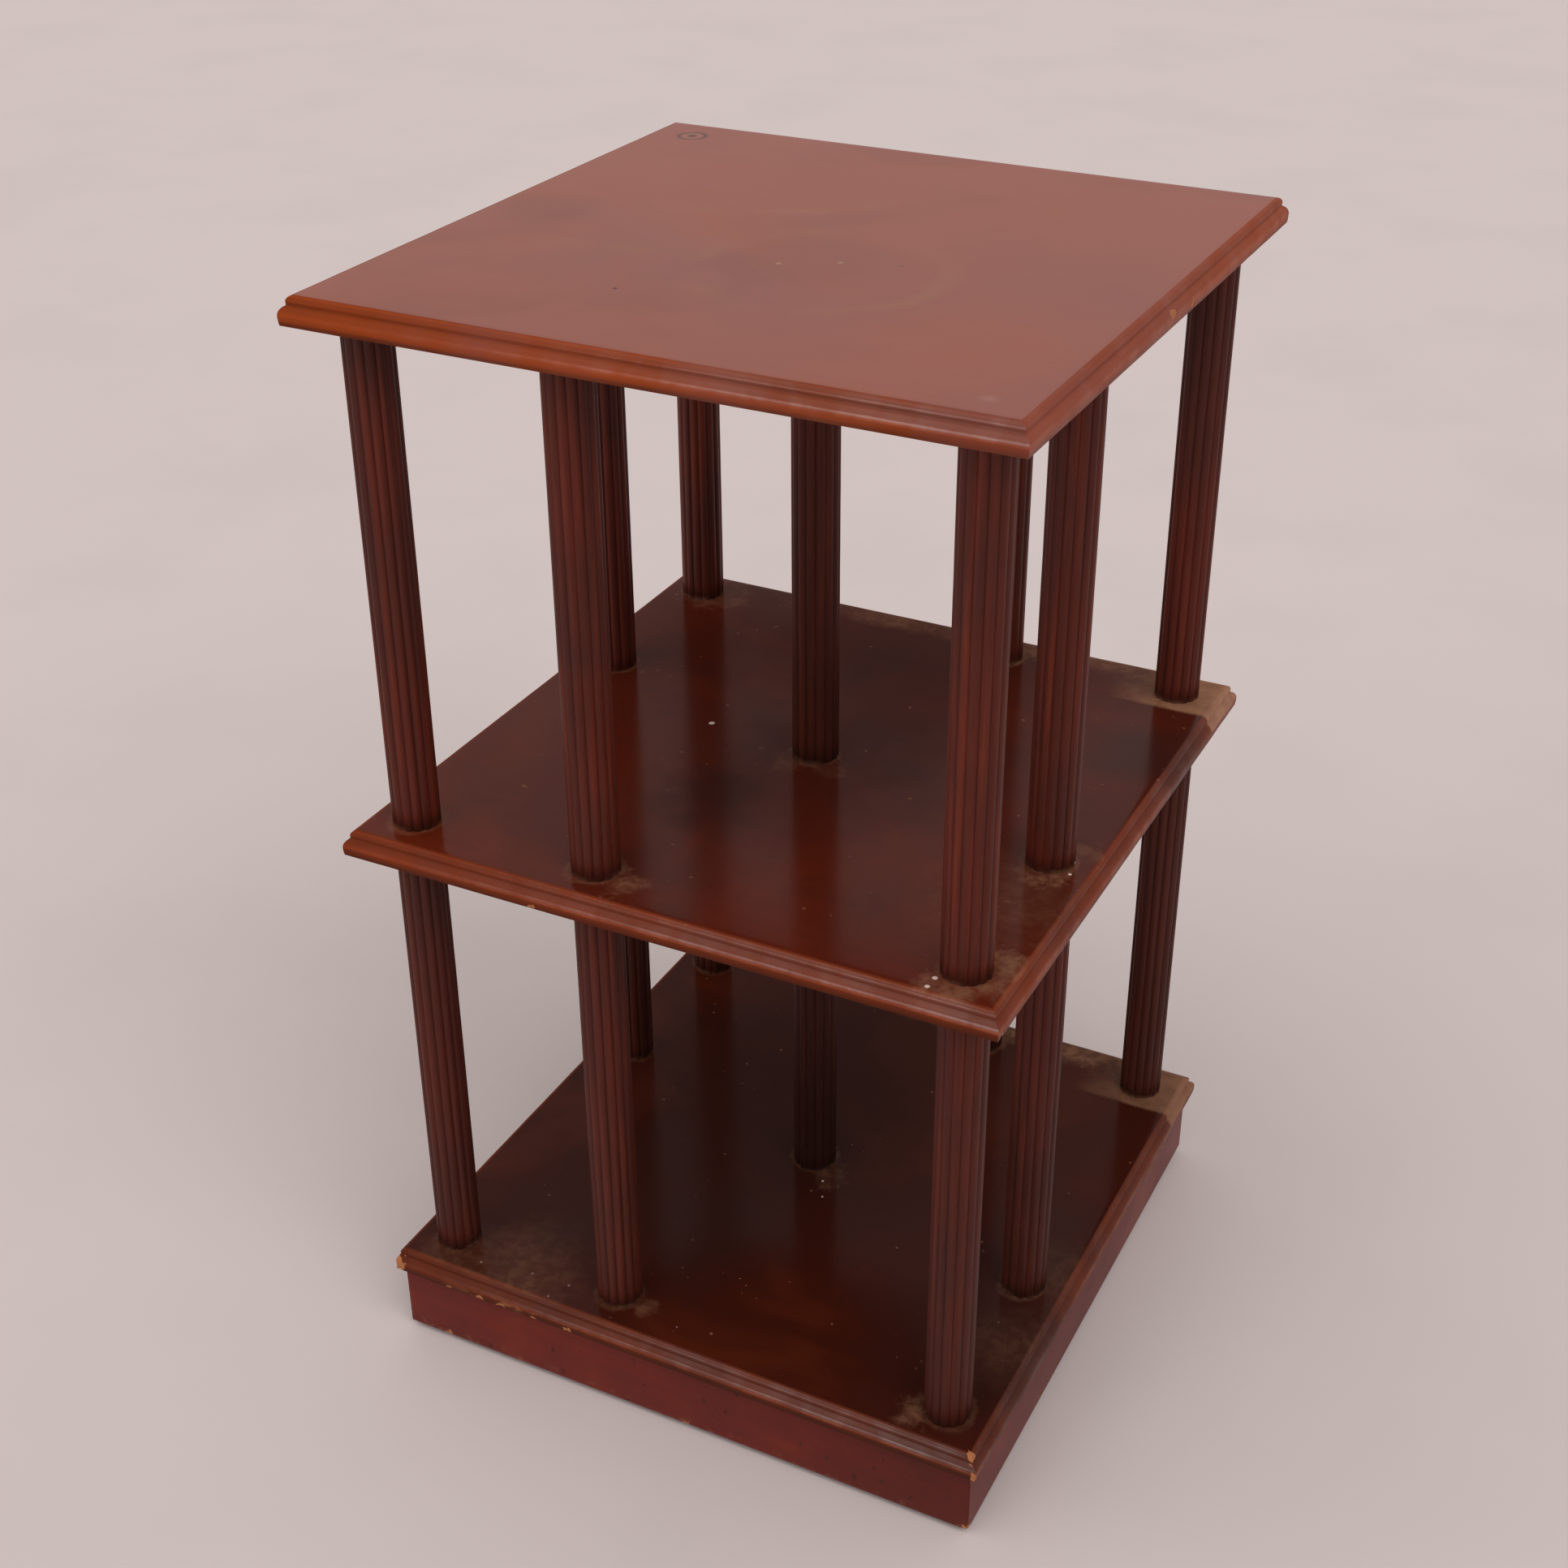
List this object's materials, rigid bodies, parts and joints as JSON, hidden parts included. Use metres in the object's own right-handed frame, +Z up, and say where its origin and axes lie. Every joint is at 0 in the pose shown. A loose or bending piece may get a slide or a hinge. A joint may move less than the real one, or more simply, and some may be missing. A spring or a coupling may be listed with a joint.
{
  "type": "revolving bookcase",
  "caption": "Square revolving bookcase: moulded boards joined by reeded columns in open tiers, over a plain plinth that turns on a hidden ball-bearing foot.",
  "frame": {"origin": "on the floor, on the axis that the case turns about", "axes": "+Z up the turning axis, +X along the front edge towards the right, +Y to the back; at rest the case's sides are square to X and Y"},
  "size_m": [0.48, 0.48, 0.8225],
  "materials": {
    "mahogany": "satin, stained and worn",
    "secondary_wood": "bare, matte",
    "dowel_wood": "bare, matte",
    "steel": "zinc plated, dulled",
    "brass": "satin",
    "glide_plastic": "matte"
  },
  "bodies": {
    "foot": {"turntable_board": "secondary_wood", "turntable_screws": "steel", "foot_rail_lengthwise": "secondary_wood", "foot_rail_crosswise": "secondary_wood", "glide_right": "glide_plastic", "glide_back": "glide_plastic", "glide_left": "glide_plastic", "glide_front": "glide_plastic", "glide_nails": "steel", "lower_race_plate": "steel", "lower_race_screws": "steel", "spindle_bush": "brass"},
    "ball_ring": {"ball_cage": "brass", "bearing_balls": "steel"},
    "case": {"top_board": "mahogany", "middle_shelf": "mahogany", "bottom_board": "mahogany", "upper_column_front_left": "mahogany", "upper_column_front_right": "mahogany", "upper_column_back_right": "mahogany", "upper_column_back_left": "mahogany", "upper_column_front_mid": "mahogany", "upper_column_right_mid": "mahogany", "upper_column_back_mid": "mahogany", "upper_column_left_mid": "mahogany", "upper_column_centre": "mahogany", "lower_column_front_left": "mahogany", "lower_column_front_right": "mahogany", "lower_column_back_right": "mahogany", "lower_column_back_left": "mahogany", "lower_column_front_mid": "mahogany", "lower_column_right_mid": "mahogany", "lower_column_back_mid": "mahogany", "lower_column_left_mid": "mahogany", "lower_column_centre": "mahogany", "plinth_front_rail": "mahogany", "plinth_right_rail": "mahogany", "plinth_back_rail": "mahogany", "plinth_left_rail": "mahogany", "plinth_block_front_right": "secondary_wood", "plinth_block_back_right": "secondary_wood", "plinth_block_back_left": "secondary_wood", "plinth_block_front_left": "secondary_wood", "top_dowels": "dowel_wood", "shelf_dowels": "dowel_wood", "column_screws": "steel", "plinth_block_screws": "steel", "upper_race_plate": "steel", "upper_race_screws": "steel", "spindle": "steel", "spindle_screws": "steel", "thrust_washer": "steel", "castle_nut": "steel", "split_pin": "steel"}
  },
  "joints": [
    {"name": "case_spin", "type": "hinge", "parent": "foot", "child": "case", "pos_m": [0, 0, 0.0605], "axis": [0, 0, 1], "continuous": true},
    {"name": "ball_ring_spin", "type": "hinge", "parent": "foot", "child": "ball_ring", "pos_m": [0, 0, 0.055], "axis": [0, 0, 1], "continuous": true}
  ],
  "couplings": [
    {"joint": "ball_ring_spin", "follows": "case_spin", "ratio": 0.5}
  ]
}
